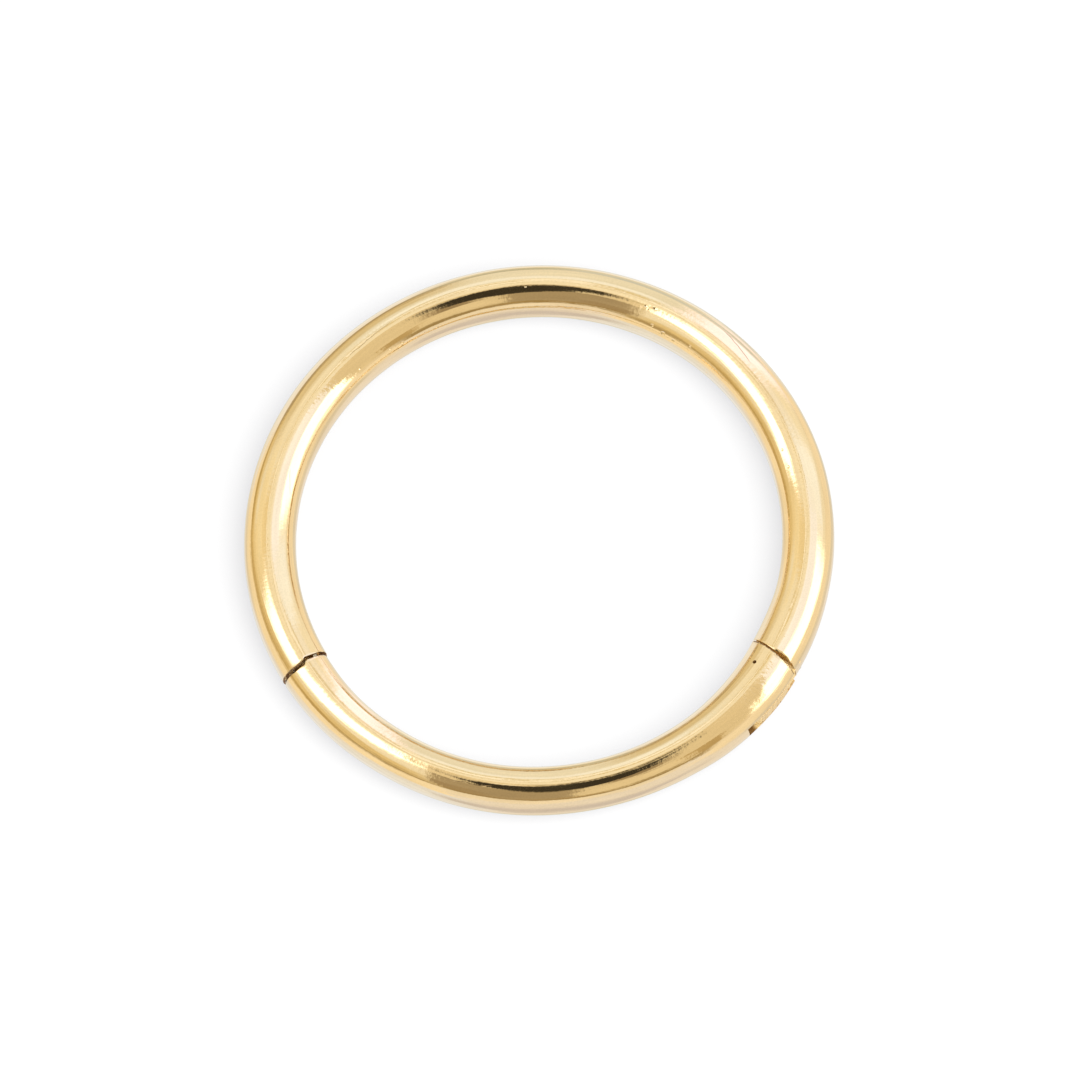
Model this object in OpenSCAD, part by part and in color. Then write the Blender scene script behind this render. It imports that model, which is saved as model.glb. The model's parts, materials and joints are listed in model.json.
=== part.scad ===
// Hinged segment ring of round wire, closed and lying flat.
// The free end of the segment clicks into the fixed part, and its other end turns on a riveted pin.
// +Z is up, +Y is the side opposite the segment, and the origin is under the middle of the ring.

/* [Ring] */
// Inside diameter of the closed ring
inner_d = 12; // [10:0.5:14]
// Diameter of the wire of the fixed part
wire_d = 1.29; // [1.27:0.01:1.35]
// Diameter of the wire of the segment
segment_d = 1.2; // [1.15:0.01:1.25]
// Angle of the seam at the clasp, from +X towards +Y
clasp_a = 210.5; // [200:0.5:220]
// Angle of the seam at the hinge, from +X towards +Y
hinge_a = -29; // [-40:0.5:-20]

/* [Hinge] */
// Distance along the wire from the seam back to the pin
pin_back = 1.2; // [1.15:0.01:1.25]
// Distance of the pin outside the middle of the wire
pin_out = 0.2; // [0.18:0.01:0.22]
// Diameter of the pin
pin_d = 0.4; // [0.36:0.01:0.44]
// Radial clearance of the pin in the tongue
pin_clearance = 0.02; // [0.01:0.01:0.04]
// Slope of the seam across the wire, the outer end nearer to the pin
seam_slope = 0.2; // [0.18:0.01:0.22]
// Gap between the fixed part and the ends of the ears
hinge_gap = 0.05; // [0.04:0.01:0.08]
// Thickness of the tongue between the ears
tongue_t = 0.4; // [0.35:0.01:0.42]
// Gap above and below the tongue
tongue_gap = 0.03; // [0.02:0.01:0.04]
// Radius of the round tip of the tongue
tip_r = 0.45; // [0.43:0.01:0.47]
// Distance from the pin to the bottom of the slot
slot_back = 0.6; // [0.58:0.01:0.62]

/* [Knuckle] */
// How much wider the knuckle is than the wire, across the ring
knuckle_extra = 0.12; // [0.08:0.01:0.14]
// How far the middle of the knuckle lies outside the middle of the wire
knuckle_out = 0.02; // [0:0.01:0.03]
// Length of the knuckle past the bottom of the slot
knuckle_past = 0.5; // [0.4:0.05:0.8]
// Diameter of the small pore in the knuckle
pore_d = 0.1; // [0.08:0.01:0.12]
// Depth of the pore
pore_depth = 0.1; // [0.08:0.01:0.15]
// Distance along the wire from the seam back to the pore
pore_back = 0.47; // [0.4:0.01:0.55]
// Direction of the pore round the wire, from outwards towards +Z
pore_turn = 113; // [100:1:125]

/* [Clasp] */
// Gap between the free end of the segment and the fixed part
clasp_gap = 0.08; // [0.06:0.01:0.12]
// Extra gap over the outer half of the wire
clasp_relief = 0.04; // [0.02:0.01:0.06]
// Width of the click tongue at its root
click_w = 0.6; // [0.5:0.02:0.64]
// Thickness of the click tongue
click_t = 0.4; // [0.3:0.02:0.5]
// Length of the click tongue
click_l = 0.55; // [0.4:0.05:0.6]
// Slope of the outer side of the click tongue, in degrees from the wire
click_slope = 40; // [38:1:42]
// Clearance of the click tongue in its socket
click_clearance = 0.04; // [0.03:0.01:0.05]

/* [Hidden] */
gold = [0.89, 0.72, 0.42];
$fn = 96;
// Radius of the ring at the middle of the wire
ring_r = (inner_d + wire_d) / 2;
// Shift that centres the outline, since the segment is thinner than the fixed part
centre_y = (segment_d - wire_d) / 4;
// Half the size of the blocks that trim the wire, well outside it
reach = wire_d * 1.5;
// How far a part runs into the one that it is fused with
root = 0.3;
pin_a = hinge_a - along(pin_back);
knuckle_a = pin_a - along(slot_back + knuckle_past);
tip_a = pin_a - along(tip_r + root);
// Outer corner of an ear, seen from the pin
ear_x = wire_d / 2 + knuckle_extra / 2 + knuckle_out - pin_out;
relief_r = norm([ear_x, pin_back]) + tongue_gap;
// Inner side of the tongue where it meets the fixed part, seen from the pin
shank_l = pin_back - hinge_gap;
shank_in = wire_d / 2 + pin_out + shank_l / ring_r;
// The dome that ends the knuckle is a little smaller than the knuckle
dome_d = wire_d - 0.02;

// Angle that a length along the middle of the wire covers
function along(length) = length / ring_r * 180 / PI;

// Places its children on the middle of the wire, with +X outwards and +Y anticlockwise
module on_ring(angle) {
  rotate([0, 0, angle])
    translate([ring_r, 0, 0])
      children();
}

// Places its children on the axis of the pin
module on_pin() {
  on_ring(pin_a)
    translate([pin_out, 0, 0])
      children();
}

// Rests the ring on the floor with its outline centred on the origin
module lie_flat() {
  translate([0, centre_y, wire_d / 2])
    children();
}

// Round wire bent to the ring, between two angles
module wire(d, from, to) {
  rotate([0, 0, from])
    rotate_extrude(angle = to - from)
      translate([ring_r, 0])
        circle(d = d);
}

// Section of the knuckle: a circle drawn out across the ring
module knuckle_section() {
  translate([ring_r + knuckle_out, 0]) {
    square([knuckle_extra, wire_d], center = true);
    for (side = [-1, 1])
      translate([side * knuckle_extra / 2, 0])
        circle(d = wire_d);
  }
}

module knuckle(from, to) {
  rotate([0, 0, from])
    rotate_extrude(angle = to - from)
      knuckle_section();
}

// Rounded end of the knuckle, where the thinner wire leaves it
module knuckle_dome() {
  on_ring(knuckle_a)
    translate([knuckle_out, 0, 0]) {
      rotate([0, 90, 0])
        cylinder(h = knuckle_extra, d = dome_d, center = true);
      for (side = [-1, 1])
        translate([side * knuckle_extra / 2, 0, 0])
          sphere(d = dome_d);
    }
}

// Area on one side of the hinge seam, moved along the wire by a shift
module beyond_seam(side, shift) {
  polygon([
    [-reach, shift + reach * seam_slope],
    [reach, shift - reach * seam_slope],
    [reach, side * 2 * reach],
    [-reach, side * 2 * reach]
  ]);
}

// Outline of the hinge tongue, seen from the pin
module tongue_outline() {
  circle(r = tip_r);
  polygon([
    [-tip_r, 0],
    [tip_r, 0],
    [tip_r, shank_l],
    [-shank_in, shank_l]
  ]);
}

// What is cut away round the hinge tongue
module round_tongue() {
  on_pin()
    linear_extrude(2 * reach, center = true)
      difference() {
        translate([-reach, -reach])
          square([2 * reach, reach + shank_l]);
        tongue_outline();
      }
}

// What is cut away above the hinge tongue, to make room for an ear and its swing
module above_tongue() {
  translate([0, 0, tongue_t / 2]) {
    on_ring(hinge_a)
      linear_extrude(reach)
        beyond_seam(-1, hinge_gap);
    on_pin()
      cylinder(h = reach, r = relief_r);
  }
}

// Outline of the click tongue, wider by a clearance all round
module click_outline(clearance) {
  half = click_w / 2;
  tip = click_l + clearance;
  outer = half + clearance / cos(click_slope);
  polygon([
    [-half - clearance, root],
    [-half - clearance, -tip],
    [outer - tip * tan(click_slope), -tip],
    [outer, 0],
    [outer, root]
  ]);
}

module click_tongue(clearance) {
  on_ring(clasp_a)
    linear_extrude(click_t + 2 * clearance, center = true)
      click_outline(clearance);
}

module ring_body() {
  color(gold)
    lie_flat()
      difference() {
        wire(wire_d, tip_a, clasp_a - along(clasp_gap));
        above_tongue();
        mirror([0, 0, 1])
          above_tongue();
        round_tongue();
        on_pin()
          cylinder(h = 2 * reach, r = pin_d / 2 + pin_clearance, center = true);
        click_tongue(click_clearance);
        on_ring(clasp_a)
          translate([0, -clasp_gap - clasp_relief, -reach])
            cube([reach, reach, 2 * reach]);
      }
}

module segment() {
  color(gold)
    lie_flat() {
      difference() {
        union() {
          wire(segment_d, clasp_a - 360, knuckle_a + along(root));
          knuckle(knuckle_a, hinge_a + along(root));
          knuckle_dome();
        }
        on_ring(hinge_a)
          linear_extrude(2 * reach, center = true)
            beyond_seam(1, 0);
        on_pin() {
          translate([-reach, -slot_back, -tongue_t / 2 - tongue_gap])
            cube([2 * reach, 2 * reach, tongue_t + 2 * tongue_gap]);
          cylinder(h = 2 * reach, d = pin_d, center = true);
        }
        on_ring(hinge_a - along(pore_back))
          rotate([0, 90 - pore_turn, 0])
            translate([0, 0, wire_d / 2 - pore_depth])
              cylinder(h = reach, d = pore_d);
      }
      click_tongue(0);
    }
}

module hinge_pin() {
  color(gold)
    lie_flat()
      intersection() {
        on_pin()
          cylinder(h = 2 * reach, d = pin_d, center = true);
        knuckle(knuckle_a, hinge_a);
      }
}

ring_body();
segment();
hinge_pin();
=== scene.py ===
import json
import math
import bpy
import bmesh
from mathutils import Matrix, Vector, noise
from mathutils.bvhtree import BVHTree
from mathutils.interpolate import poly_3d_calc


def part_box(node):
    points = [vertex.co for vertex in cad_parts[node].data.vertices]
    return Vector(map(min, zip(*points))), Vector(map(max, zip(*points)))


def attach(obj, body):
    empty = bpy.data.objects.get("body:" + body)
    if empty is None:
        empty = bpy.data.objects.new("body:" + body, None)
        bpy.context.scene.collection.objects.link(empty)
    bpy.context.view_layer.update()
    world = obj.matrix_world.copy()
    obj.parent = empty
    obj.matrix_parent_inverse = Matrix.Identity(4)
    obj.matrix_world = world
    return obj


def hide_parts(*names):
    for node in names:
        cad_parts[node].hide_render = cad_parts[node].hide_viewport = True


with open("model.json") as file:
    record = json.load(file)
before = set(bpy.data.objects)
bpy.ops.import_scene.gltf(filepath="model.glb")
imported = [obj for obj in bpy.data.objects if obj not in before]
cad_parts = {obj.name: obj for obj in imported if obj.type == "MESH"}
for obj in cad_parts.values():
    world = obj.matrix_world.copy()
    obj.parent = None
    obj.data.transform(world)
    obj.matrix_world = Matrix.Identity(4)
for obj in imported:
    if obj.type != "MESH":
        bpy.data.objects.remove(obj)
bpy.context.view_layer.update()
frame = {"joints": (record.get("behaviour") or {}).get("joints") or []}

# All shaping is done in millimetres round the ring's own centre, then moved into the frame
mm, micron = 0.001, 1e-6
bodyLow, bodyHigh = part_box("ring_body")
segmentLow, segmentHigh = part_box("segment")
wireRadius = (bodyHigh.z - bodyLow.z) / 2 / mm
ringRadius = -bodyLow.x / mm - wireRadius
segmentRadius = 0.6   # the hinged third is of thinner wire
ringCentre = Vector((0, segmentLow.y / mm + ringRadius + segmentRadius, wireRadius))
pin = Vector(frame["joints"][0]["pos_m"]) / mm - ringCentre
pinAngle = math.atan2(pin.y, pin.x)
pinReach = pin.xy.length
atPin = Matrix.Translation((pin.x, pin.y, 0))


def along(length):
    return length / ringRadius


def smooth(low, high, x):
    s = min(max((x - low) / (high - low), 0), 1)
    return s * s * (3 - 2 * s)


def towards(azimuth, elevation):
    # A direction, by degrees from the front to the hinge side and degrees above the floor
    a, e = math.radians(azimuth), math.radians(elevation)
    return Vector((math.sin(a) * math.cos(e), -math.cos(a) * math.cos(e), math.sin(e)))


def ringCoords(co, lowest):
    # Angle round the ring, distance out from the middle of the wire, height
    angle = math.atan2(co.y, co.x)
    if angle < lowest:
        angle += 2 * math.pi
    return angle, math.hypot(co.x, co.y) - ringRadius, co.z


def ringPoint(angle, out, up):
    reach = ringRadius + out
    return Vector((reach * math.cos(angle), reach * math.sin(angle), up))


def onWire(angle):
    # Moves a shape from the origin to the middle of the wire, with its +X outwards
    return Matrix.Rotation(angle, 4, "Z") @ Matrix.Translation((ringRadius, 0, 0))


def polishLoss(co, depth, size):
    # Uneven depth that hand polishing takes off the metal: broad waves and finer ones
    finer, elsewhere, swing = 2.3, Vector((9, 4, 2)), 0.45
    wave = noise.noise(co / size) + 0.5 * noise.noise(co / size * finer + elsewhere)
    return depth * (0.5 + swing * wave)


def sweepWire(bm, radius, start, end, sides, steps):
    place = onWire(start) @ Matrix.Rotation(math.pi / 2, 4, "X")
    place = place @ Matrix.Rotation(-math.pi / 2, 4, "Z")
    circle = bmesh.ops.create_circle(bm, segments=sides, radius=radius, matrix=place)["verts"]
    edges = list(dict.fromkeys(e for v in circle for e in v.link_edges))   # in a fixed order
    bmesh.ops.spin(bm, geom=circle + edges, cent=(0, 0, 0), axis=(0, 0, 1), angle=end - start,
                   steps=steps)


def openEdges(bm):
    return [e for e in bm.edges if e.is_boundary]


def nearAngle(edge, angle, lowest, reach):
    return all(abs(ringCoords(v.co, lowest)[0] - angle) < along(reach) for v in edge.verts)


def closeEnd(bm, angle, lowest):
    # A flat cap on the open end near an angle, ruled straight up and down
    rim = [e for e in openEdges(bm) if nearAngle(e, angle, lowest, 0.2)]
    bmesh.ops.contextual_create(bm, geom=rim)
    verts = dict.fromkeys(v for e in rim for v in e.verts)
    level = 1e-4   # corners closer to the middle plane than this have no partner
    upper = sorted([v for v in verts if v.co.z > level], key=lambda v: v.co.xy.length)
    lower = sorted([v for v in verts if v.co.z < -level], key=lambda v: v.co.xy.length)
    for top, bottom in zip(upper, lower):
        bmesh.ops.connect_verts(bm, verts=[top, bottom])


def roundEdges(bm, edges, size):
    bmesh.ops.bevel(bm, geom=edges, offset=size, offset_type="OFFSET", affect="EDGES", segments=2,
                    profile=0.5, material=-1, clamp_overlap=True)


def sharpEdges(bm, degrees):
    return [e for e in bm.edges if e.is_manifold and e.calc_face_angle() > math.radians(degrees)]


def roundCorners(bm, sizes):
    roundEdges(bm, sharpEdges(bm, sizes["corner"]), sizes["rim"])


def newObject(name, bm):
    bmesh.ops.recalc_face_normals(bm, faces=bm.faces)
    mesh = bpy.data.meshes.new(name)
    bm.to_mesh(mesh)
    bm.free()
    piece = bpy.data.objects.new(name, mesh)
    bpy.context.scene.collection.objects.link(piece)
    return piece


def cutOrJoin(piece, tool, operation):
    change = piece.modifiers.new(operation, "BOOLEAN")
    change.operation = operation
    change.solver = "EXACT"
    change.object = tool
    view = bpy.context.evaluated_depsgraph_get()
    piece.data = bpy.data.meshes.new_from_object(piece.evaluated_get(view))
    piece.modifiers.clear()
    bpy.data.objects.remove(tool)


def onlyVerts(geometry):
    return [g for g in geometry if isinstance(g, bmesh.types.BMVert)]


def extrudeUp(bm, faces, height):
    raised = bmesh.ops.extrude_face_region(bm, geom=faces)["geom"]
    bmesh.ops.translate(bm, vec=(0, 0, height), verts=onlyVerts(raised))


def plate(outline, height):
    # Solid plate from a closed outline of edges, as far above the middle plane as below it
    face = bmesh.ops.contextual_create(outline, geom=outline.edges[:])["faces"]
    extrudeUp(outline, face, height)
    bmesh.ops.translate(outline, vec=(0, 0, -height / 2), verts=outline.verts[:])
    return outline


def keepSkin(bm):
    # The smooth skin before anything is cut into it, whose normals the finished piece takes
    bmesh.ops.recalc_face_normals(bm, faces=bm.faces)
    bm.normal_update()
    whole = bm.copy()
    whole.faces.ensure_lookup_table()
    return whole, BVHTree.FromBMesh(whole)


def skinNormal(skin, co):
    # also gives the distance from the skin
    whole, tree = skin
    spot, normal, index, gap = tree.find_nearest(co)
    corners = whole.faces[index].verts
    shares = poly_3d_calc([v.co for v in corners], spot)
    return sum((v.normal * share for v, share in zip(corners, shares)), Vector()).normalized(), gap


# How the cut faces of a finished piece are told from its polished skin
cutFace = {
    "depth": 0.03,       # mm under the skin
    "turned": 0.75,      # cosine of its turn away from the skin's own direction
    "level": 0.0015,     # mm that the corners of a face of the skin may lie off it
    "flush": 0.98,       # least cosine at which a face takes the skin's normals
    "tongueBack": 0.3,   # mm of wire from the hinge seam, from where all is tongue
}


def finishPiece(piece, skin, lowest, body, node, materials):
    # Lays a UV map in millimetres along and round the wire, then moves the piece into the frame
    bm = bmesh.new()
    bm.from_mesh(piece.data)
    bmesh.ops.remove_doubles(bm, verts=bm.verts[:], dist=1e-5)
    bm.normal_update()
    uv = bm.loops.layers.uv.new("wire")
    onSkin = {v: skinNormal(skin, v.co) for v in bm.verts}
    normals = []
    for face in bm.faces:
        angle, out, up = ringCoords(face.calc_center_median(), lowest)
        middle = math.atan2(up, out)
        outwards = sum((onSkin[v][0] for v in face.verts), Vector()).normalized()
        facing = face.normal.dot(outwards)
        gaps = [onSkin[v][1] for v in face.verts]
        onTongue = node == "ring_body" and angle < hingeAngle - along(cutFace["tongueBack"])
        isCut = onTongue or min(gaps) > cutFace["depth"] or facing < cutFace["turned"]
        isSkin = max(gaps) < cutFace["level"] and not onTongue and facing > cutFace["flush"]
        face.material_index = 1 if isCut else 0
        for loop in face.loops:
            # the walls of the pits are polished and smooth, but not skin
            own = face.normal if isCut or isSkin else loop.vert.normal
            normals.append(onSkin[loop.vert][0] if isSkin else own.copy())
            angle, out, up = ringCoords(loop.vert.co, lowest)
            turn = math.atan2(up, out)
            turn += 2 * math.pi * round((middle - turn) / (2 * math.pi))
            loop[uv].uv = (angle * ringRadius, turn * wireRadius)
    bmesh.ops.translate(bm, vec=ringCentre, verts=bm.verts)
    bmesh.ops.scale(bm, vec=(mm, mm, mm), verts=bm.verts)
    piece.data.materials.clear()
    for material in materials:
        piece.data.materials.append(material)
    bm.to_mesh(piece.data)
    bm.free()
    piece.data.shade_smooth()
    piece.data.normals_split_custom_set(normals)
    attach(piece, body)
    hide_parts(node)
    print(piece.name, len(piece.data.polygons), "faces")


# Camera: a long lens above the ring and a little in front of it
camera = {
    "elevation": 68.2,   # degrees above the floor
    "azimuth": 5.74,     # degrees from the front towards the hinge side
    "distance": 1000.0,
    "lens": 1351.0,
    "sensor": 36.0,
    "clip": (0.01, 10.0),    # metres
    "aim": (0.022, 0.022),   # right of and above the ring's centre, at the picture's middle
}


def placeCamera():
    turn = math.radians(camera["azimuth"])
    right = Vector((math.cos(turn), math.sin(turn), 0))
    back = towards(camera["azimuth"], camera["elevation"])
    up = back.cross(right)
    # the photograph is turned so that the ring's own axes stay level in it
    level = Matrix.Rotation(-turn, 4, back)
    right, up = level @ right, level @ up
    target = (ringCentre + right * camera["aim"][0] + up * camera["aim"][1]) * mm
    data = bpy.data.cameras.new("camera")
    data.lens = camera["lens"]
    data.sensor_width = camera["sensor"]
    data.clip_start, data.clip_end = camera["clip"]
    holder = bpy.data.objects.new("camera", data)
    axes = Matrix((right, up, back)).transposed().to_4x4()
    holder.matrix_world = Matrix.Translation(target + back * camera["distance"] * mm) @ axes
    bpy.context.scene.collection.objects.link(holder)
    bpy.context.scene.camera = holder


placeCamera()
print("camera placed")


# Ring body: the fixed two thirds of the wire, its hinge tongue and the socket of the clasp
ringBody = {
    "seamBack": 1.2,         # mm of wire from the pin to the hinge seam
    "seamSlope": 0.2,        # how much the seam leans across the wire
    "hingeGap": 0.05,
    "hingeReach": 1.2,       # mm of wire over which the end takes the shape of the seam
    "hingeFlare": 0.03,      # the outer half of the seam is worn wider
    "outerHalf": (0.05, 0.3),   # mm out from the middle of the wire over which that half begins
    "crumble": 0.025,        # ragged outer half of the seam
    "crumbleSize": 0.08,
    "earSwing": 1.28,        # clearance circle round the pin for the corners of the ears
    "claspAngle": 210.5,     # degrees
    "claspGap": 0.08,
    "claspReach": 0.4,       # mm of wire over which the end takes the shape of the clasp
    "claspStep": 0.07,       # the outer half of the end reaches further than the inner half
    "stepWidth": (-0.02, 0.06),   # mm out over which the step rises
    "claspWave": 0.02,       # unevenness of its edge
    "waveSize": 0.25,
    "rim": 0.018,
    "corner": 50,            # degrees from which an edge gets a rim
    "swell": 0.05,           # the wire is a little fuller towards the hinge
    "swellShift": 0.4,       # mm to 1 of swell that it moves the wire inwards
    "swellEnds": (-24, -10),   # degrees over which it runs out
    "polishDepth": 0.007,
    "polishSize": 1.3,
    "sides": 86,
    "steps": 480,
}
pits = {
    # where along the ring and round the wire, in degrees; radius in mm
    "places": [
        (66.3, 101, 0.045), (64.2, 99.5, 0.06), (65.4, 106, 0.03), (63.4, 135, 0.045),
        (60.4, 141, 0.055), (57.5, 144.5, 0.045), (55.6, 139, 0.03), (53.2, 133.5, 0.04),
        (47.0, 168, 0.04), (19.6, 114.5, 0.04), (15.3, 113.5, 0.045), (135.2, 127, 0.035),
        (123.4, 139, 0.04), (126.7, 136, 0.03), (93.2, 101, 0.03),
    ],
    "depth": 0.3,            # share of the radius
    "stretch": 1.3,          # longer along the wire
    "fineness": 4,
}
tongue = {
    "thickness": 0.4,
    "outerSide": 0.685,      # mm outside the middle of the wire, beside the pin
    "sunk": 0.065,           # less than that at the seam
    "sunkFrom": 0.5,         # mm of wire from the pin where it starts to sink
    "teeth": 0.035,          # roughness of the outer side
    "toothSize": 0.06,
    "roughFrom": 0.4,        # mm out from which the side is rough
    "innerSide": -0.6,
    "root": 0.35,            # how far it runs into the wire
    "rim": 0.02,
    "corner": 50,
    "tipSteps": 48,
    "sideSteps": 44,
    "bore": 0.22,
    "boreHalf": 0.5,         # mm that the drill reaches up and down
}
click = {
    "width": 0.6,
    "thickness": 0.4,
    "length": 0.55,
    "slope": 40,             # degrees
    "root": 0.3,
    "clearance": 0.04,
    "rim": 0.02,
    "corner": 30,
}
bodyLowest = math.radians(-90)
hingeAngle = pinAngle + along(ringBody["seamBack"])
claspAngle = math.radians(ringBody["claspAngle"])
claspEnd = claspAngle - along(ringBody["claspGap"])


def seamLine(out, gap):
    return hingeAngle + (gap - ringBody["seamSlope"] * out) / (ringRadius + out)


def swingCircle(out):
    reach = ringRadius + out
    cosine = (reach ** 2 + pinReach ** 2 - ringBody["earSwing"] ** 2) / (2 * reach * pinReach)
    return pinAngle + math.acos(cosine)


def shapeBody(co):
    angle, out, up = ringCoords(co, bodyLowest)
    swellFrom, swellTo = ringBody["swellEnds"]
    full = 1 - smooth(math.radians(swellFrom), math.radians(swellTo), angle)
    worn = 1 - polishLoss(co, ringBody["polishDepth"], ringBody["polishSize"]) / wireRadius
    # the hinge end leans, and gives way to the corners of the ears
    atHinge = 1 - smooth(0, ringBody["hingeReach"], (angle - hingeAngle) * ringRadius)
    ragged = ringBody["crumble"] * noise.noise(co / ringBody["crumbleSize"])
    ragged = max(ragged + ringBody["hingeFlare"], 0)
    hingeEnd = max(seamLine(out, ringBody["hingeGap"]), swingCircle(out))
    hingeEnd += along(ragged) * smooth(*ringBody["outerHalf"], out)
    angle += (hingeEnd - hingeAngle) * atHinge
    # the clasp end has a step in the middle
    atClasp = smooth(claspAngle - along(ringBody["claspReach"]), claspEnd, angle)
    step = ringBody["claspStep"] * smooth(*ringBody["stepWidth"], out)
    step += ringBody["claspWave"] * noise.noise(co / ringBody["waveSize"])
    angle += along(step) * atClasp
    out = out * worn * (1 + ringBody["swell"] * full)
    out -= ringBody["swellShift"] * ringBody["swell"] * full
    return ringPoint(angle, out, up * worn)


def tonguePlate():
    outline = bmesh.new()
    rootAngle = hingeAngle + along(tongue["root"])
    first = outline.verts.new(ringPoint(pinAngle, tongue["outerSide"], 0))
    tip = bmesh.ops.spin(outline, geom=[first], cent=(pin.x, pin.y, 0), axis=(0, 0, 1),
                         angle=-math.pi, steps=tongue["tipSteps"])
    side = bmesh.ops.spin(outline, geom=[first], cent=(0, 0, 0), axis=(0, 0, 1),
                          angle=rootAngle - pinAngle, steps=tongue["sideSteps"])
    inner = outline.verts.new(ringPoint(rootAngle, tongue["innerSide"], 0))
    for end in (tip, side):
        outline.edges.new((onlyVerts(end["geom_last"])[0], inner))
    sunkFrom = pinAngle + along(tongue["sunkFrom"])
    for v in outline.verts:
        angle, out, up = ringCoords(v.co, bodyLowest)
        if out > tongue["roughFrom"]:
            out -= tongue["sunk"] * smooth(sunkFrom, hingeAngle, angle)
            out += tongue["teeth"] * noise.noise(v.co / tongue["toothSize"])
            v.co = ringPoint(angle, out, up)
    solid = plate(outline, tongue["thickness"])
    roundCorners(solid, tongue)
    return newObject("tonguePlate", solid)


def roundBar(name, radius, low, high, place):
    bm = bmesh.new()
    middle = Matrix.Translation((0, 0, (low + high) / 2))
    bmesh.ops.create_cone(bm, cap_ends=True, segments=hingePin["sides"], radius1=radius,
                          radius2=radius, depth=high - low, matrix=place @ middle)
    return newObject(name, bm)


def pitTool():
    # Shallow balls that leave the casting pits
    bm = bmesh.new()
    for spot, turn, radius in pits["places"]:
        depth = radius * pits["depth"]
        ball = (radius ** 2 + depth ** 2) / (2 * depth)
        place = onWire(math.radians(spot)) @ Matrix.Rotation(-math.radians(turn), 4, "Y")
        place = place @ Matrix.Translation((wireRadius - depth + ball, 0, 0))
        place = place @ Matrix.Diagonal((1, pits["stretch"], 1, 1))
        bmesh.ops.create_icosphere(bm, subdivisions=pits["fineness"], radius=ball, matrix=place)
    return newObject("pits", bm)


def clickWedge(name, clearance):
    # The latch that enters the socket, with its outer side sloping to the tip
    slope = math.radians(click["slope"])
    half = click["width"] / 2 + clearance
    tip = -click["length"] - clearance
    outer = click["width"] / 2 + clearance / math.cos(slope)
    outerTip = outer + tip * math.tan(slope)
    root = click["root"]
    outline = bmesh.new()
    corners = [(-half, root), (-half, tip), (outerTip, tip), (outer, 0), (outer, root)]
    verts = [outline.verts.new((x, y, 0)) for x, y in corners]
    for a, b in zip(verts, verts[1:] + verts[:1]):
        outline.edges.new((a, b))
    solid = plate(outline, click["thickness"] + 2 * clearance)
    if clearance == 0:
        roundCorners(solid, click)
    bmesh.ops.transform(solid, matrix=onWire(claspAngle), verts=solid.verts)
    return newObject(name, solid)


def buildRingBody(materials):
    bm = bmesh.new()
    sweepWire(bm, wireRadius, hingeAngle, claspEnd, ringBody["sides"], ringBody["steps"])
    closeEnd(bm, hingeAngle, bodyLowest)
    closeEnd(bm, claspEnd, bodyLowest)
    for v in bm.verts:
        v.co = shapeBody(v.co)
    skin = keepSkin(bm)
    roundCorners(bm, ringBody)
    piece = newObject("ringBody", bm)
    cutOrJoin(piece, tonguePlate(), "UNION")
    bore = roundBar("bore", tongue["bore"], -tongue["boreHalf"], tongue["boreHalf"], atPin)
    cutOrJoin(piece, bore, "DIFFERENCE")
    cutOrJoin(piece, clickWedge("socket", click["clearance"]), "DIFFERENCE")
    cutOrJoin(piece, pitTool(), "DIFFERENCE")
    finishPiece(piece, skin, bodyLowest, "fixed_ring", "ring_body", materials)


# Segment: the hinged third, with its two ears at the pin and the click tongue at the clasp
segment = {
    "slotHalf": 0.23,
    "slotBack": 0.6,         # mm from the pin to the bottom of the slot
    "rim": 0.018,
    "corner": 50,
    "hingeReach": 1.0,       # mm of wire over which the ears take the shape of the seam
    "crumbleSize": 0.09,
    "crumbleShift": (3, 1, 7),   # so that the seam's two sides are ragged in their own ways
    "claspStep": 0.095,      # the outer half of the free end is set back
    "claspWave": 0.01,
    "waveSize": 0.2,
    "rivetFlat": 0.0035,     # how much the riveting has flattened the knuckle round the pin
    "rivetReach": (0.08, 0.42),   # mm from the middle of the pin over which that runs out
    "polishDepth": 0.007,
    "polishSize": 1.1,
    "pinHole": 0.201,
    "holeHalf": 1.0,         # mm that the drill reaches up and down
    "poreAngle": -33.05,
    "poreTurn": 113.5,
    "poreRadius": 0.05,
    "poreDepth": 0.1,
    "sides": 86,
    "steps": 300,
    # where along the ring, in degrees; how far out, in and up the wire reaches there, in mm
    "profile": [
        (-150, 0.64, 0.61, 0.61),
        (-136, 0.62, 0.59, 0.60),
        (-124, 0.59, 0.60, 0.60),
        (-105, 0.59, 0.61, 0.60),
        (-80, 0.58, 0.63, 0.60),
        (-67, 0.60, 0.63, 0.61),
        (-58, 0.63, 0.63, 0.625),
        (-51, 0.68, 0.635, 0.64),
        (-43, 0.71, 0.66, 0.645),
        (-36, 0.73, 0.68, 0.645),
        (-28, 0.71, 0.71, 0.645),
    ],
}
segmentLowest = -math.pi
slotEnd = pinAngle - along(segment["slotBack"])


def wireProfile(angle):
    # Catmull-Rom through the rows of the profile
    rows = segment["profile"]
    at = min(max(math.degrees(angle), rows[0][0]), rows[-1][0])
    i = max(j for j in range(len(rows) - 1) if rows[j][0] <= at)
    a, b, c, d = (Vector(rows[min(max(j, 0), len(rows) - 1)]) for j in (i - 1, i, i + 1, i + 2))
    s = (at - b[0]) / (c[0] - b[0])
    slopeB = (c - a) / (c[0] - a[0]) * (c[0] - b[0])
    slopeC = (d - b) / (d[0] - b[0]) * (c[0] - b[0])
    blend = (2 * s ** 3 - 3 * s ** 2 + 1) * b + (s ** 3 - 2 * s ** 2 + s) * slopeB
    blend += (3 * s ** 2 - 2 * s ** 3) * c + (s ** 3 - s ** 2) * slopeC
    return blend[1:]


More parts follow.
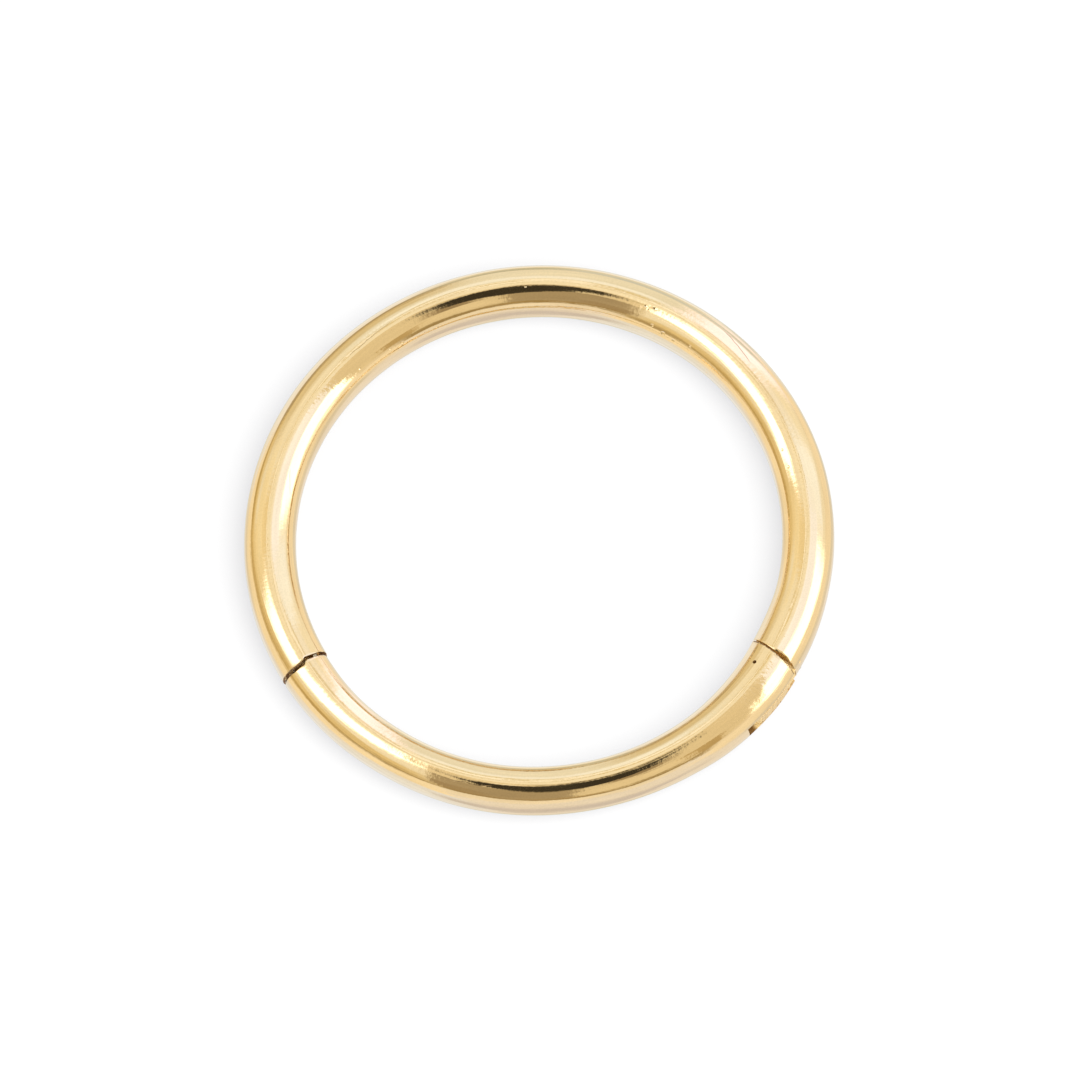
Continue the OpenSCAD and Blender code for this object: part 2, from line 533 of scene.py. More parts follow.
def shapeSegment(co):
    angle, out, up = ringCoords(co, segmentLowest)
    outer, inner, height = wireProfile(angle)
    worn = 1 - polishLoss(co, segment["polishDepth"], segment["polishSize"]) / segmentRadius
    if up < 0:
        worn = 1
    atHinge = smooth(hingeAngle - along(segment["hingeReach"]), hingeAngle, angle)
    out *= (outer if out > 0 else inner) / segmentRadius * worn
    up *= height / segmentRadius * worn
    shift = Vector(segment["crumbleShift"])
    ragged = ringBody["crumble"] * noise.noise(co / segment["crumbleSize"] + shift)
    ragged *= smooth(*ringBody["outerHalf"], out)
    angle += (seamLine(out, 0) - hingeAngle - along(max(ragged, 0))) * atHinge
    fromClasp = (angle - claspAngle + 2 * math.pi) * ringRadius
    step = segment["claspStep"] * smooth(*ringBody["stepWidth"], out)
    step += segment["claspWave"] * noise.noise(co / segment["waveSize"])
    angle += along(step) * (1 - smooth(0, ringBody["claspReach"], fromClasp))
    spot = ringPoint(angle, out, up)
    flat = segment["rivetFlat"] * (1 - smooth(*segment["rivetReach"], (spot.xy - pin.xy).length))
    spot.z -= math.copysign(min(flat, abs(up)), up)
    return spot


def cutSlot(bm):
    # Takes away the middle of the wire at the hinge and closes the rest into two ears
    slotTop = segment["slotHalf"] * segmentRadius / wireRadius
    fromAngle = slotEnd - along(0.1)

    def inSlot(face):
        angle, out, up = ringCoords(face.calc_center_median(), segmentLowest)
        return angle > slotEnd and abs(up) < slotTop

    def onEnd(e):
        return nearAngle(e, hingeAngle, segmentLowest, 0.01)

    def isUpper(e):
        return e.verts[0].co.z + e.verts[1].co.z > 0

    def isLevel(e):
        return abs(e.verts[0].co.z - e.verts[1].co.z) < 1e-5
    bmesh.ops.delete(bm, geom=[f for f in bm.faces if inSlot(f)], context="FACES")
    lines = [e for e in openEdges(bm)
             if ringCoords(e.verts[0].co, segmentLowest)[0] > fromAngle and not onEnd(e)]
    upper = [e for e in lines if isLevel(e) and isUpper(e)]
    lower = [e for e in lines if isLevel(e) and not isUpper(e)]
    across = [e for e in lines if not isLevel(e)]
    for group in (upper, lower, across):
        bmesh.ops.bridge_loops(bm, edges=group)
    for top in (True, False):
        rim = [e for e in openEdges(bm) if onEnd(e) and isUpper(e) == top]
        bmesh.ops.contextual_create(bm, geom=rim)


def buildSegment(materials):
    bm = bmesh.new()
    start = claspAngle - 2 * math.pi
    sweepWire(bm, segmentRadius, start, hingeAngle, segment["sides"], segment["steps"])
    closeEnd(bm, start, segmentLowest)
    whole = bm.copy()
    for v in whole.verts:
        v.co = shapeSegment(v.co)
    skin = keepSkin(whole)
    cutSlot(bm)
    for v in bm.verts:
        v.co = shapeSegment(v.co)
    bmesh.ops.recalc_face_normals(bm, faces=bm.faces)
    roundEdges(bm, [e for e in sharpEdges(bm, segment["corner"]) if e.is_convex], segment["rim"])
    piece = newObject("hingedSegment", bm)
    cutOrJoin(piece, clickWedge("clickTongue", 0), "UNION")
    hole = roundBar("pinHole", segment["pinHole"], -segment["holeHalf"], segment["holeHalf"], atPin)
    cutOrJoin(piece, hole, "DIFFERENCE")
    turn = Matrix.Rotation(math.radians(90 - segment["poreTurn"]), 4, "Y")
    place = onWire(math.radians(segment["poreAngle"])) @ turn
    bottom = wireRadius - segment["poreDepth"]
    pore = roundBar("pore", segment["poreRadius"], bottom, segment["holeHalf"], place)
    cutOrJoin(piece, pore, "DIFFERENCE")
    finishPiece(piece, skin, segmentLowest, "hinged_segment", "segment", materials)
    return skin


# Hinge pin: riveted flush through the ears and polished over with them
hingePin = {
    "radius": 0.2,
    "half": 0.55,            # mm above and below the middle, until its ends follow the ears
    "rim": 0.0015,
    "corner": 40,
    "sides": 48,
    "rings": 6,
}


def buildHingePin(skin, materials):
    bm = bmesh.new()
    radius, half = hingePin["radius"], hingePin["half"]
    bmesh.ops.create_circle(bm, cap_ends=True, segments=hingePin["sides"], radius=radius,
                            matrix=Matrix.Translation((pin.x, pin.y, -half)))
    for ring in range(hingePin["rings"]):
        face = [f for f in bm.faces if len(f.verts) == hingePin["sides"]]
        bmesh.ops.inset_region(bm, faces=face, thickness=radius / (hingePin["rings"] + 1))
    extrudeUp(bm, bm.faces[:], 2 * half)
    for v in bm.verts:
        # both ends follow the top and bottom of the ears
        angle, out, up = ringCoords(v.co, segmentLowest)
        outer, inner, height = wireProfile(angle)
        share = out / (outer if out > 0 else inner)
        height = math.copysign(segmentRadius * math.sqrt(1 - share ** 2), up)
        v.co.z = shapeSegment(ringPoint(angle, share * segmentRadius, height)).z
    roundCorners(bm, hingePin)
    piece = newObject("hingePin", bm)
    finishPiece(piece, skin, segmentLowest, "hinged_segment", "hinge_pin", materials)


# Shader helpers
def addNode(tree, kind, **settings):
    node = tree.nodes.new(kind)
    for key, value in settings.items():
        setattr(node, key, value)
    return node


def plug(tree, socket, value):
    # A plain value is set, and a socket is linked
    if isinstance(value, bpy.types.NodeSocket):
        tree.links.new(value, socket)
    else:
        socket.default_value = value


def feed(tree, node, **inputs):
    for key, value in inputs.items():
        plug(tree, node.inputs[key], value)
    return node


def calculate(tree, operation, *values):
    node = addNode(tree, "ShaderNodeMath", operation=operation)
    for socket, value in zip(node.inputs, values):
        plug(tree, socket, value)
    return node.outputs[0]


def vectorMath(tree, operation, *values):
    node = addNode(tree, "ShaderNodeVectorMath", operation=operation)
    for socket, value in zip(node.inputs, values):
        plug(tree, socket, value)
    return node.outputs


def gapBetween(tree, first, second):
    return calculate(tree, "ABSOLUTE", calculate(tree, "SUBTRACT", first, second))


def lengthOf(tree, first, second):
    squares = calculate(tree, "MULTIPLY_ADD", first, first,
                        calculate(tree, "MULTIPLY", second, second))
    return calculate(tree, "SQRT", squares)


def splitVector(tree, vector):
    return feed(tree, addNode(tree, "ShaderNodeSeparateXYZ"), Vector=vector).outputs


def noiseAt(tree, vector, scale, detail=2.0, roughness=0.5):
    return feed(tree, addNode(tree, "ShaderNodeTexNoise"), Vector=vector, Scale=scale,
                Detail=detail, Roughness=roughness).outputs


def mixColours(tree, mask, first, second):
    mix = addNode(tree, "ShaderNodeMix", data_type="RGBA")
    tree.links.new(mask, mix.inputs["Factor"])
    for socket, colour in ((mix.inputs[6], first), (mix.inputs[7], second)):
        plug(tree, socket, colour + (1,) if isinstance(colour, tuple) else colour)
    return mix.outputs[2]


def spread(tree, value, low, high, toLow=0.0, toHigh=1.0):
    node = addNode(tree, "ShaderNodeMapRange", interpolation_type="SMOOTHSTEP")
    feed(tree, node, **{"Value": value, "From Min": low, "From Max": high,
                        "To Min": toLow, "To Max": toHigh})
    return node.outputs["Result"]


def softStep(tree, value, half, softness):
    # 1 inside a half width, 0 outside, with a smooth edge
    low = calculate(tree, "SUBTRACT", half, softness)
    high = calculate(tree, "ADD", half, softness)
    return spread(tree, value, low, high, 1.0, 0.0)


def newGroup(name, vectors, values, output):
    group = bpy.data.node_groups.new(name, "ShaderNodeTree")
    for kind, labels in (("NodeSocketVector", vectors), ("NodeSocketFloat", values)):
        for label in labels:
            group.interface.new_socket(label, in_out="INPUT", socket_type=kind)
    group.interface.new_socket(output, in_out="OUTPUT", socket_type="NodeSocketFloat")
    return group, addNode(group, "NodeGroupInput").outputs, addNode(group, "NodeGroupOutput").inputs


def placeGroup(tree, group, label="", **inputs):
    node = addNode(tree, "ShaderNodeGroup", node_tree=group, label=label)
    return feed(tree, node, **inputs).outputs[0]


def newMaterial(name):
    material = bpy.data.materials.new(name)
    material.use_nodes = True
    tree = material.node_tree
    return material, tree, tree.nodes["Principled BSDF"]


# Studio: a cloth tent gathered at its top, just behind the ring, with panels hanging from there
studio = {
    "top": (185.74, 68.2),   # degrees from the front towards the hinge side, and up
    "cloth": (1.02, 0.98, 0.84),
    "even": (1.11, 1.04, 0.92),   # mean light of the tent, as a dull surface sees it
    # waves of the cloth: how many to a radian, how far they bend an edge in degrees, fineness
    "ripple": (5.0, 9.0, 4.0, 0.6),
    # uneven light on it: how many spots to a radian, share, fineness
    "mottle": (3.5, 0.30, 3.0, 0.55),
    # bearing round the top (0 is the front, 90 the hinge side): from, to; distance down from it:
    # from, to; soft edge; light; where it isn't upright, how far its sides lean to a degree down
    # and its ends slope to a degree sideways. All in degrees
    "panels": {
        "backCloth": ((145, 217), (-5, 75), 9, (0.95, 0.96, 0.90)),
        "backLight": ((150, 208), (16, 30), 5, (1.10, 1.16, 1.22)),
        "backShade": ((190, 232), (38, 100), 9, (0.80, 0.70, 0.47)),
        "clampSide": ((-112, -92), (8, 66), 5, (0.95, 0.82, 0.53)),
        "clampLight": ((-122, -95), (30, 50), 7, (1.03, 0.93, 0.66)),
        "lowLeft": ((-165, -34), (62, 120), 8, (0.85, 0.70, 0.39), 0, 0.04),
        "lowRight": ((98, 140), (80, 120), 4, (0.90, 0.82, 0.66)),
        "leftBox": ((-90, -34), (17, 48), 5, (2.50, 2.42, 2.35), 0, -0.33),
        "rightCloth": ((50, 98), (10, 50), 8, (1.15, 1.21, 1.42)),
        "rightBox": ((51, 93), (44, 95), 5, (2.50, 2.42, 2.25), 0.1, 0),
        "rightFold": ((96, 116), (12, 66), 6, (1.14, 1.21, 1.32)),
        "clampFold": ((113, 127), (4, 40), 5, (1.03, 1.02, 0.98), 0.2, 0),
        "hingeStreak": ((132, 149), (12, 100), 5, (1.47, 1.39, 1.79), 0.1, 0),
        "gather": ((95, 265), (2.5, 5), 1.2, (0.80, 0.67, 0.38)),
        "gatherLight": ((95, 265), (6, 10), 1.5, (1.17, 1.16, 1.10)),
        "gatherFold": ((95, 265), (11, 13), 1.2, (0.80, 0.68, 0.40)),
        "frontCloth": ((-33, 51), (12, 120), 2, (0.86, 0.75, 0.52)),
        "nearLens": ((9, 22), (34, 52), 4, (0.36, 0.28, 0.17), 0.1, 0),
        "stand": ((-33, 2), (40, 120), 1.5, (0.45, 0.37, 0.24), -0.06, 0),
        "standEdge": ((-33, -19), (66, 120), 2, (0.41, 0.32, 0.19)),
        "legStreak": ((33, 45), (62, 120), 2, (0.58, 0.44, 0.22), 0.22, 0),
        "horizonFront": ((-33, 51), (84, 103), 4, (0.40, 0.30, 0.14)),
        "horizonCorner": ((-62, -34), (83, 97), 5, (0.50, 0.39, 0.20)),
        "horizonLeft": ((-137, -60), (74, 87), 5, (0.60, 0.45, 0.20), 0, 0.14),
        "horizonBackLeft": ((-172, -135), (64, 81), 5, (0.50, 0.41, 0.26), 0, 0.1),
        "horizonBack": ((170, 192), (71, 89), 7, (0.60, 0.60, 0.52)),
        "horizonBackRight": ((138, 172), (70, 87), 7, (0.70, 0.76, 0.80)),
        "ground": ((-200, 200), (97, 190), 3, (0.93, 0.92, 0.95)),
        "groundFront": ((-34, 30), (93, 108), 3, (0.98, 0.92, 0.80)),
        "groundLeft": ((-137, -34), (89, 118), 4, (1.05, 0.95, 0.74), 0, 0.13),
        "groundLeftFar": ((-152, -116), (105, 121), 5, (0.88, 0.82, 0.70)),
        "groundBackLeft": ((-172, -137), (81, 112), 5, (1.00, 1.02, 1.08)),
        "groundRight": ((36, 146), (83, 118), 6, (1.01, 0.92, 0.74)),
        "groundRightFar": ((60, 150), (112, 126), 5, (0.80, 0.77, 0.70)),
        "groundBack": ((155, 203), (98, 150), 8, (1.08, 1.15, 1.27)),
        "paper": ((-160, -34), (126, 165), 8, (0.92, 1.00, 1.18)),
        # painted shadow of the ring on the floor, which the metal mirrors in place of the hidden
        # floor
        "paintedRingShadow": ((-55, 55), (138, 170), 8, (0.72, 0.71, 0.80)),
        "farGround": ((150, 210), (112, 170), 14, (0.80, 0.80, 0.72)),
    },
    # middle (bearing, distance), half its width and height, soft edge as a share of them, light
    "lens": ((-1.0, 31.0), (10.5, 15.0), 0.16, (0.046, 0.039, 0.026)),
}


def panelGroup():
    # Mask of one tent panel, by bearing round the top of the tent and distance down from it
    group, given, result = newGroup("tentPanel", (), (
        "Bearing", "Distance", "Middle Bearing", "Half Width", "Middle Distance", "Half Height",
        "Softness", "Side Lean", "End Slope"), "Mask")
    turn = calculate(group, "SUBTRACT", given["Bearing"], given["Middle Bearing"])
    turn = calculate(group, "WRAP", turn, 180.0, -180.0)
    drop = calculate(group, "SUBTRACT", given["Distance"], given["Middle Distance"])
    lean = calculate(group, "MULTIPLY", drop, given["Side Lean"])
    slope = calculate(group, "MULTIPLY", turn, given["End Slope"])
    across, down = gapBetween(group, turn, lean), gapBetween(group, drop, slope)
    sides = softStep(group, across, given["Half Width"], given["Softness"])
    ends = softStep(group, down, given["Half Height"], given["Softness"])
    group.links.new(calculate(group, "MULTIPLY", sides, ends), result["Mask"])
    return group


def lightStudio():
    world = bpy.data.worlds.new("studio")
    bpy.context.scene.world = world
    world.use_nodes = True
    tree = world.node_tree
    tree.nodes.clear()
    direction = addNode(tree, "ShaderNodeTexCoord").outputs["Generated"]
    turn = math.radians(studio["top"][0])
    top = towards(*studio["top"])
    side = Vector((-math.cos(turn), -math.sin(turn), 0))
    toTop, toSide, toFront = (vectorMath(tree, "DOT_PRODUCT", direction, axis)["Value"]
                              for axis in (top, side, side.cross(top)))
    bearing = calculate(tree, "DEGREES", calculate(tree, "ARCTAN2", toSide, toFront))
    distance = calculate(tree, "DEGREES", calculate(tree, "ARCCOSINE", toTop))
    # the cloth hangs in waves, so no edge is straight
    waves, bending, detail, roughness = studio["ripple"]
    bend = addNode(tree, "ShaderNodeSeparateColor")
    tree.links.new(noiseAt(tree, direction, waves, detail, roughness)["Color"], bend.inputs[0])
    bent = [calculate(tree, "MULTIPLY_ADD", wave, bending, angle)
            for wave, angle in zip(bend.outputs, (bearing, distance))]
    bearing, distance = (calculate(tree, "SUBTRACT", angle, bending / 2) for angle in bent)
    group = panelGroup()
    light = studio["cloth"]
    for name, (sides, ends, softness, colour, *lean) in studio["panels"].items():
        panel = placeGroup(tree, group, name, **{
            "Bearing": bearing, "Distance": distance, "Softness": softness,
            "Middle Bearing": sum(sides) / 2, "Half Width": (sides[1] - sides[0]) / 2,
            "Middle Distance": sum(ends) / 2, "Half Height": (ends[1] - ends[0]) / 2,
        }, **dict(zip(("Side Lean", "End Slope"), lean)))
        light = mixColours(tree, panel, light, colour)
    # the lens looks in through an oval opening
    middle, halves, softness, colour = studio["lens"]
    closer = calculate(tree, "SINE", calculate(tree, "RADIANS", distance))
    width = calculate(tree, "SUBTRACT", bearing, middle[0])
    width = calculate(tree, "DIVIDE", calculate(tree, "MULTIPLY", width, closer), halves[0])
    height = calculate(tree, "SUBTRACT", distance, middle[1])
    height = calculate(tree, "DIVIDE", height, halves[1])
    edge = softStep(tree, lengthOf(tree, height, width), 1.0, softness)
    light = mixColours(tree, edge, light, colour)
    background = addNode(tree, "ShaderNodeBackground")
    spots, share, detail, roughness = studio["mottle"]
    mottle = noiseAt(tree, direction, spots, detail, roughness)[0]
    strength = calculate(tree, "MULTIPLY_ADD", mottle, share, 1 - share / 2)
    feed(tree, background, Strength=strength, Color=light)
    # the floor and the dull dirt see the tent as one even light, only the metal mirrors its panels
    even = addNode(tree, "ShaderNodeBackground")
    even.inputs["Color"].default_value = studio["even"] + (1,)
    mirrored = addNode(tree, "ShaderNodeLightPath").outputs["Is Glossy Ray"]
    choose = addNode(tree, "ShaderNodeMixShader")
    for socket, source in zip(choose.inputs, (mirrored, even.outputs[0], background.outputs[0])):
        tree.links.new(source, socket)
    output = addNode(tree, "ShaderNodeOutputWorld")
    tree.links.new(choose.outputs[0], output.inputs["Surface"])


# Floor: a white sheet lit a little from below, as on a light table
floorSheet = {
    "size": 3,
    "colour": (0.250, 0.241, 0.226),
    "glow": (0.587, 0.614, 0.666),
}
keyLight = {
    "from": (55, 55),
    "energy": 3.4,
    "softness": 52,          # degrees
    "colour": (0.95, 0.98, 1.0),
}


def layFloor():
    bm = bmesh.new()
    bmesh.ops.create_grid(bm, x_segments=1, y_segments=1, size=floorSheet["size"])
    floor = newObject("floor", bm)
    material, tree, shader = newMaterial("paleFloor")
    feed(tree, shader, **{
        "Base Color": floorSheet["colour"] + (1,), "Emission Color": floorSheet["glow"] + (1,),
        "Emission Strength": 1, "Roughness": 1, "Specular IOR Level": 0})
    floor.data.materials.append(material)
    floor.visible_glossy = False   # the ring mirrors the studio's ground instead
    # soft key from the upper right, which gives the shadow its side
    sun = bpy.data.lights.new("key", "SUN")
    sun.energy = keyLight["energy"]
    sun.angle = math.radians(keyLight["softness"])
    sun.color = keyLight["colour"]
    key = bpy.data.objects.new("key", sun)
    key.rotation_mode = "QUATERNION"
    key.rotation_quaternion = towards(*keyLight["from"]).to_track_quat("Z", "Y")
    key.visible_glossy = False
    bpy.context.scene.collection.objects.link(key)


# Polished gold of the skin
gold = {
    "colour": (0.92, 0.745, 0.485),
    "deep": (0.88, 0.695, 0.425),
    # clouds in which these two alternate: how many to a metre, detail, fineness
    "clouds": (700.0, 3.0, 0.55),
    "roughness": (0.045, 0.10),
    "hazeEdge": (0.3, 0.7),    # values of the clouds over which it rises
    # hand polishing: spacing across the wire and length along it in mm, height in microns
    "ridges": (0.20, 7.0, 10.0),
    "lines": (0.05, 2.0, 0.9),
    "peel": (0.09, 1.4),       # orange peel: size in mm, height in microns
    # speckle of the metal: size in mm, detail, from and to which value, darkest share
    "grain": (0.045, 1.0, 0.35, 0.65, 0.965),
    # uneven skin beside the seams: size in mm, height in microns, reach in mm, fineness
    "dents": (0.45, 4.5, 2.6, 0.55),
    "seamWear": 0.12,          # mm beside a seam that is worn dull
    "seamRoughness": 0.24,
    "grime": (0.20, 0.12, 0.05),
    "grimeReach": 0.05,        # mm beside a seam that holds dirt in spots
    "grimeMetal": 0.25,        # how metallic the spots are
    "spots": (14000.0, 3.0, 0.6),   # how many to a metre, detail, fineness
    "spotEdge": (0.36, 0.50),
    # long scratches: start along and round the wire in mm, length, direction in degrees, width
    "scratches": [
        (6.04, 0.36, 1.30, 180.2, 0.022), (5.80, 0.585, 1.19, 169.1, 0.022),
        (6.9, 0.24, 0.9, 172.0, 0.012), (14.2, 0.95, 1.6, 3.0, 0.010),
        (-11.4, 0.85, 1.2, 184.0, 0.010), (19.0, 1.3, 0.8, 12.0, 0.010),
    ],
    "scratchDepth": 1.1,       # microns
    "scratchDarkening": 0.80,       # how far they are darkened towards the grime's colour
    "scratchBend": 0.12,       # mm that they wander
}


def polishGroup():
    # Height of lines that run along the wire, in microns
    group, given, result = newGroup("polishingLines", ("Vector",),
                                    ("Spacing", "Length", "Height"), "Height")
    combine = addNode(group, "ShaderNodeCombineXYZ")
    feed(group, combine, X=calculate(group, "DIVIDE", 1.0, given["Length"]),
         Y=calculate(group, "DIVIDE", 1.0, given["Spacing"]))
    stretched = vectorMath(group, "MULTIPLY", given["Vector"], combine.outputs[0])[0]
    lines = noiseAt(group, stretched, 1.0)[0]
    group.links.new(calculate(group, "MULTIPLY", lines, given["Height"]), result["Height"])
    return group


def scratchGroup():
    # One long scratch on the unrolled skin of the wire, tapering at both ends
    group, given, result = newGroup("longScratch", ("Vector", "Start"),
                                    ("Length", "Direction", "Width"), "Mask")
    taper, bends = 0.2, 2.5   # share of its half, and waves to a mm
    away = vectorMath(group, "SUBTRACT", given["Vector"], given["Start"])[0]
    turned = addNode(group, "ShaderNodeVectorRotate", rotation_type="Z_AXIS", invert=True)
    feed(group, turned, Vector=away, Angle=given["Direction"])
    parts = splitVector(group, turned.outputs[0])
    bend = gold["scratchBend"]
    straight = calculate(group, "SUBTRACT", parts["Y"], bend / 2)
    wobble = noiseAt(group, given["Vector"], bends)[0]
    sideways = calculate(group, "MULTIPLY_ADD", wobble, bend, straight)
    middle = calculate(group, "MULTIPLY", given["Length"], 0.5)
    offset = gapBetween(group, parts["X"], middle)
    half = calculate(group, "MULTIPLY", given["Width"], 0.5)
    across = softStep(group, calculate(group, "ABSOLUTE", sideways), half, half)
    endwise = softStep(group, offset, calculate(group, "MULTIPLY", middle, 1 - taper),
                       calculate(group, "MULTIPLY", middle, taper))
    group.links.new(calculate(group, "MULTIPLY", across, endwise), result["Mask"])
    return group


def seamGroup():
    # 1 at a seam and 0 from a reach away, on the unrolled skin of the wire in mm
    group, given, result = newGroup("nearSeam", ("Vector",), ("Reach",), "Mask")
    half, softness = 0.6, 0.4   # shares of the reach
    parts = splitVector(group, given["Vector"])
    turn = calculate(group, "COSINE", calculate(group, "DIVIDE", parts["Y"], wireRadius))
    lean = calculate(group, "MULTIPLY", turn, -ringBody["seamSlope"] * wireRadius)
    hinge = calculate(group, "ADD", lean, hingeAngle * ringRadius)
    clasp, claspBelow = claspAngle * ringRadius, (claspAngle - 2 * math.pi) * ringRadius
    gaps = [gapBetween(group, parts["X"], place) for place in (hinge, clasp, claspBelow)]
    nearest = calculate(group, "MINIMUM", calculate(group, "MINIMUM", gaps[0], gaps[1]), gaps[2])
    share = calculate(group, "DIVIDE", nearest, given["Reach"])
    group.links.new(softStep(group, share, half, softness), result["Mask"])
    return group


def dressShader(tree, shader, colour, metallic, roughness, height, unit):
    bump = addNode(tree, "ShaderNodeBump")
    feed(tree, bump, Strength=1.0, Distance=unit, Height=height)
    feed(tree, shader, **{"Base Color": colour, "Metallic": metallic, "Roughness": roughness,
                          "Normal": bump.outputs["Normal"]})


def polishedGold(lines, scratch, seam):
    material, tree, shader = newMaterial("polishedGold")
    place = addNode(tree, "ShaderNodeTexCoord").outputs["Object"]
    wire = addNode(tree, "ShaderNodeUVMap", uv_map="wire").outputs["UV"]
    cloud = noiseAt(tree, place, *gold["clouds"])[0]
    tone = mixColours(tree, cloud, gold["colour"], gold["deep"])
    size, detail, low, high, darkest = gold["grain"]
    grain = noiseAt(tree, place, 1 / (size * mm), detail)[0]
    grain = spread(tree, grain, low, high, darkest, 1.0)
    speckled = addNode(tree, "ShaderNodeVectorMath", operation="SCALE")
    feed(tree, speckled, Vector=tone, Scale=grain)
    # long scratches, drawn as darker lines
    marks = None
    for x, y, length, direction, width in gold["scratches"]:
        mark = placeGroup(tree, scratch, Vector=wire, Start=(x, y, 0), Length=length,
                          Direction=math.radians(direction), Width=width)
        marks = calculate(tree, "MAXIMUM", marks, mark) if marks else mark
    darkened = calculate(tree, "MULTIPLY", marks, gold["scratchDarkening"])
    tone = mixColours(tree, darkened, speckled.outputs[0], gold["grime"])
    # dirt in spots right beside the seams
    crumbs = noiseAt(tree, place, *gold["spots"])[0]
    beside = placeGroup(tree, seam, Vector=wire, Reach=gold["grimeReach"])
    spots = spread(tree, calculate(tree, "MULTIPLY", crumbs, beside), *gold["spotEdge"])
    metallic = spread(tree, spots, 0.0, 1.0, 1.0, gold["grimeMetal"])
    colour = mixColours(tree, spots, tone, gold["grime"])
    # haze, duller beside the seams
    haze = spread(tree, cloud, *gold["hazeEdge"], *gold["roughness"])
    worn = placeGroup(tree, seam, Vector=wire, Reach=gold["seamWear"])
    dull = spread(tree, worn, 0.0, 1.0, 0.0, gold["seamRoughness"])
    roughness = calculate(tree, "MAXIMUM", haze, dull)
    # surface heights in microns
    height = 0.0
    for spacing, length, rise in (gold["ridges"], gold["lines"]):
        layer = placeGroup(tree, lines, Vector=wire, Spacing=spacing, Length=length, Height=rise)
        height = calculate(tree, "ADD", height, layer)
    size, rise = gold["peel"]
    peel = noiseAt(tree, place, 1 / (size * mm))[0]
    height = calculate(tree, "MULTIPLY_ADD", peel, rise, height)
    size, rise, reach, fineness = gold["dents"]
    uneven = noiseAt(tree, place, 1 / (size * mm), roughness=fineness)[0]
    near = calculate(tree, "MULTIPLY", placeGroup(tree, seam, Vector=wire, Reach=reach), rise)
    height = calculate(tree, "MULTIPLY_ADD", uneven, near, height)
    height = calculate(tree, "MULTIPLY_ADD", marks, -gold["scratchDepth"], height)
    dressShader(tree, shader, colour, metallic, roughness, height, micron)
    return material


# Cut faces inside the joints, where dirt gathers. All angles are degrees along the ring
cutGold = {
    "colour": (0.80, 0.60, 0.32),
    "grime": (0.24, 0.095, 0.006),    # dark, at the clasp and in the pore
    "hingeGrime": (0.66, 0.49, 0.23),   # brown and drier
    "dirtDepth": (0.22, 0.52),    # mm from the middle of the wire over which it sets in
    "dirtGain": 0.6,              # how much more of it there is from there on
    "dirtEdge": (0.48, 0.66),
    "dirtDull": 0.15,             # how much of the metal's shine it takes
    "hingeDull": 0.55,            # and more of that in the hinge
    "notch": (-46.0, 3.5, 0.80),  # bottom of the slot: middle, half width, share of dark dirt
    "poreSide": -31.8,
    "poreDirt": 0.7,              # share of dark dirt in the pore
    "fade": 0.5,                  # half the angle over which one kind passes into the other
    "slotSide": (0.25, 0.35),     # mm from the middle plane over which the ears begin
    "claspSide": (-60.0, -55.0),
    "wiped": (0.650, 0.672),      # mm from the middle of the wire over which it is rubbed off
    "wipedShare": 0.62,
    "wipedSide": (-42.0, -40.3),  # where that starts, on the side of the tongue
    # clouds of the dirt: how many to a metre, detail, fineness
    "clouds": (9000.0, 4.0, 0.65),
    "roughness": (0.35, 0.65),
    "hazeEdge": (0.3, 0.7),       # values of the clouds over which it rises
    "relief": 4,                  # microns
}


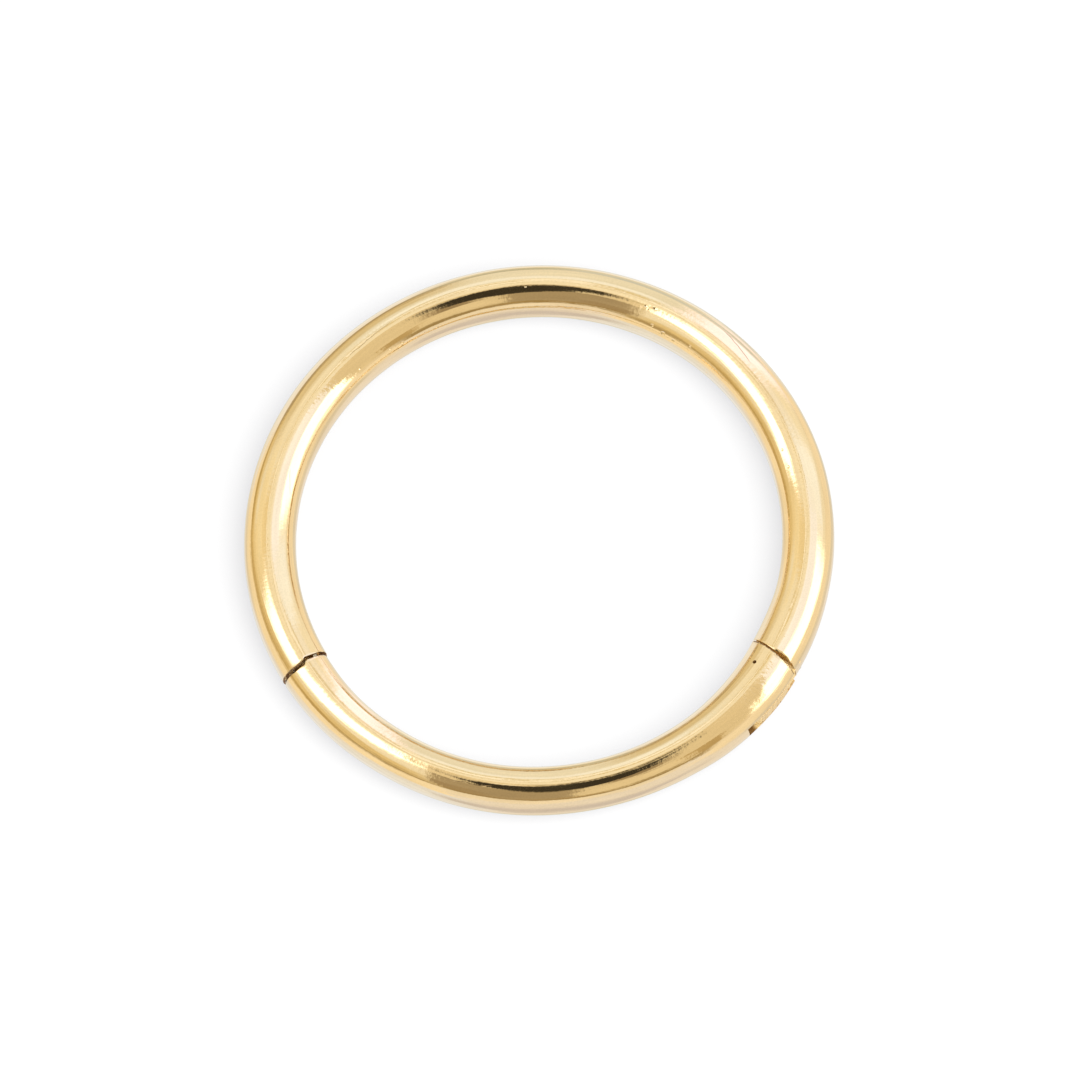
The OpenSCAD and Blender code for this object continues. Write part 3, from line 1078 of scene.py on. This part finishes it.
def filedGold():
    material, tree, shader = newMaterial("filedGold")
    place = addNode(tree, "ShaderNodeTexCoord").outputs["Object"]
    cloud = noiseAt(tree, place, *cutGold["clouds"])[0]

    def depthSpread(value, limits, toHigh):
        return spread(tree, value, limits[0] * mm, limits[1] * mm, 0.0, toHigh)
    # dirt gathers where a seam opens to the skin: the depth is measured from the wire's middle
    x, y, z = splitVector(tree, vectorMath(tree, "SUBTRACT", place, ringCentre * mm)[0])
    out = calculate(tree, "SUBTRACT", lengthOf(tree, x, y), ringRadius * mm)
    reach = lengthOf(tree, out, z)
    shallow = depthSpread(reach, cutGold["dirtDepth"], cutGold["dirtGain"])
    dirt = spread(tree, calculate(tree, "ADD", cloud, shallow), *cutGold["dirtEdge"])
    # dark at the clasp, in the pore and partly in the notch, brown in the rest of the hinge
    angle = calculate(tree, "DEGREES", calculate(tree, "ARCTAN2", y, x))
    middle, half, share = cutGold["notch"]
    side, fade = cutGold["poreSide"], cutGold["fade"]
    fromNotch = gapBetween(tree, angle, middle)
    inNotch = spread(tree, fromNotch, half - fade, half + fade, share, 0.0)
    beforeSeam = spread(tree, angle, side - fade, side + fade, cutGold["poreDirt"], 0.0)
    aboveSlot = depthSpread(calculate(tree, "ABSOLUTE", z), cutGold["slotSide"], 1.0)
    inPore = calculate(tree, "MULTIPLY", beforeSeam, aboveSlot)
    atClasp = spread(tree, angle, *cutGold["claspSide"], 1.0, 0.0)
    dark = calculate(tree, "MAXIMUM", calculate(tree, "MAXIMUM", inNotch, inPore), atClasp)
    atHinge = calculate(tree, "SUBTRACT", 1.0, dark)
    # handling rubs it off the side of the tongue
    onSide = spread(tree, angle, *cutGold["wipedSide"])
    rubbed = depthSpread(reach, cutGold["wiped"], cutGold["wipedShare"])
    kept = calculate(tree, "SUBTRACT", 1.0, calculate(tree, "MULTIPLY", rubbed, onSide))
    dirt = calculate(tree, "MULTIPLY", dirt, kept)
    grime = mixColours(tree, atHinge, cutGold["grime"], cutGold["hingeGrime"])
    colour = mixColours(tree, dirt, cutGold["colour"], grime)
    dull = calculate(tree, "MULTIPLY_ADD", atHinge, cutGold["hingeDull"], cutGold["dirtDull"])
    metallic = calculate(tree, "SUBTRACT", 1.0, calculate(tree, "MULTIPLY", dirt, dull))
    roughness = spread(tree, cloud, *cutGold["hazeEdge"], *cutGold["roughness"])
    dressShader(tree, shader, colour, metallic, roughness, cloud, cutGold["relief"] * micron)
    return material


lightStudio()
layFloor()
print("studio lit")
goldFinishes = [polishedGold(polishGroup(), scratchGroup(), seamGroup()), filedGold()]
print("gold mixed")
buildRingBody(goldFinishes)
segmentSkin = buildSegment(goldFinishes)
buildHingePin(segmentSkin, goldFinishes)
bpy.context.scene.view_settings.view_transform = "Standard"
